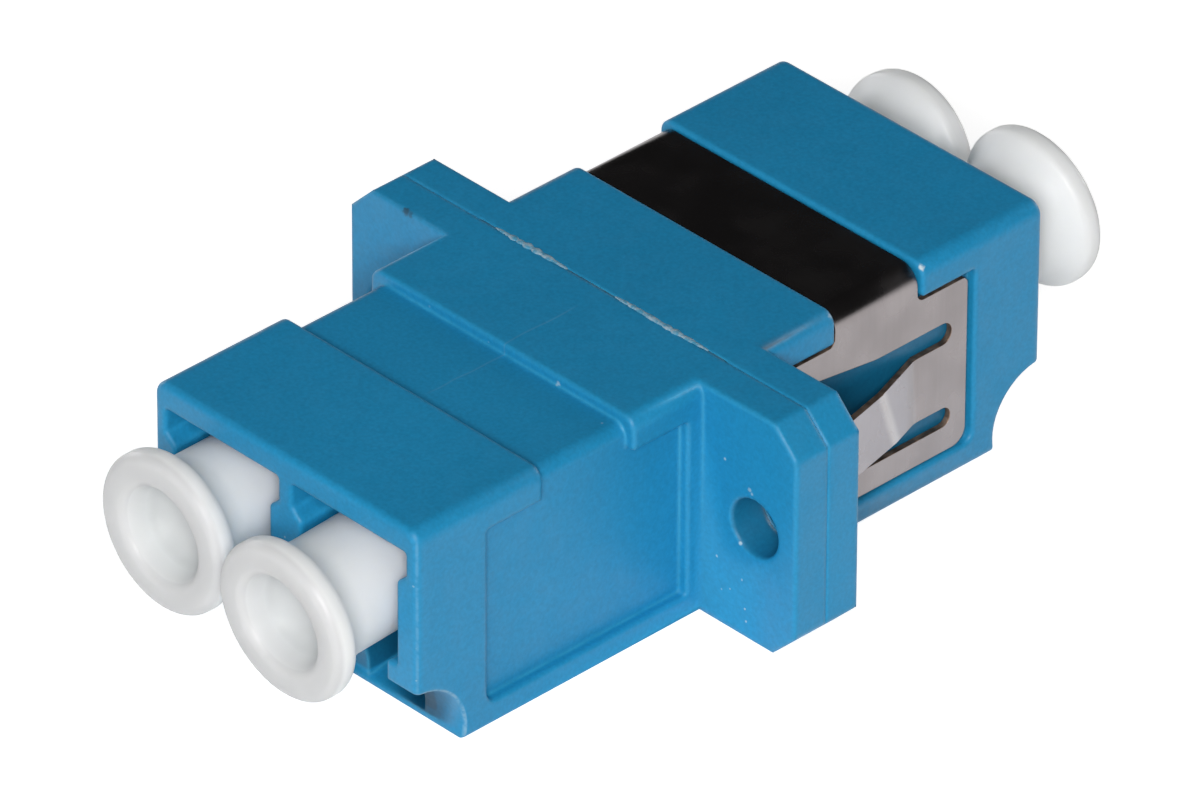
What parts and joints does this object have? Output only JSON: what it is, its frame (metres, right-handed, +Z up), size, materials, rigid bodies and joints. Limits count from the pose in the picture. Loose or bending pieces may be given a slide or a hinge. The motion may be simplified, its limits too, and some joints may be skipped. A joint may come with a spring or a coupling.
{
  "type": "duplex lc fibre adapter",
  "caption": "Flanged duplex optical adapter that joins small form factor plugs end to end, with a spring clip for panel cut-outs and a dust cap in each port.",
  "frame": {"origin": "centre of the underside, midway across the width, in the weld plane between the two half housings", "axes": "+X to the right seen from the front, +Y from the front ports to the rear half that carries the clip, +Z up, with the latch slots of all ports on the underside"},
  "size_m": [0.022, 0.0365, 0.0094],
  "materials": {
    "housing_blue": "satin moulded PBT",
    "clip_steel": "bright rolled stainless spring steel",
    "cap_white": "waxy translucent polyethylene",
    "sleeve_ceramic": "ground zirconia"
  },
  "bodies": {
    "adapter": {"front_housing": "housing_blue", "rear_housing": "housing_blue", "left_sleeve": "sleeve_ceramic", "right_sleeve": "sleeve_ceramic", "panel_clip": "clip_steel"},
    "front_left_cap": {"front_left_dust_cap": "cap_white"},
    "front_right_cap": {"front_right_dust_cap": "cap_white"},
    "rear_left_cap": {"rear_left_dust_cap": "cap_white"},
    "rear_right_cap": {"rear_right_dust_cap": "cap_white"}
  },
  "joints": [
    {"name": "front_left_cap_pull", "type": "slide", "parent": "adapter", "child": "front_left_cap", "axis": [0, -1, 0], "range_m": [0, 0.05]},
    {"name": "front_right_cap_pull", "type": "slide", "parent": "adapter", "child": "front_right_cap", "axis": [0, -1, 0], "range_m": [0, 0.05]},
    {"name": "rear_left_cap_pull", "type": "slide", "parent": "adapter", "child": "rear_left_cap", "axis": [0, 1, 0], "range_m": [0, 0.05]},
    {"name": "rear_right_cap_pull", "type": "slide", "parent": "adapter", "child": "rear_right_cap", "axis": [0, 1, 0], "range_m": [0, 0.05]}
  ]
}
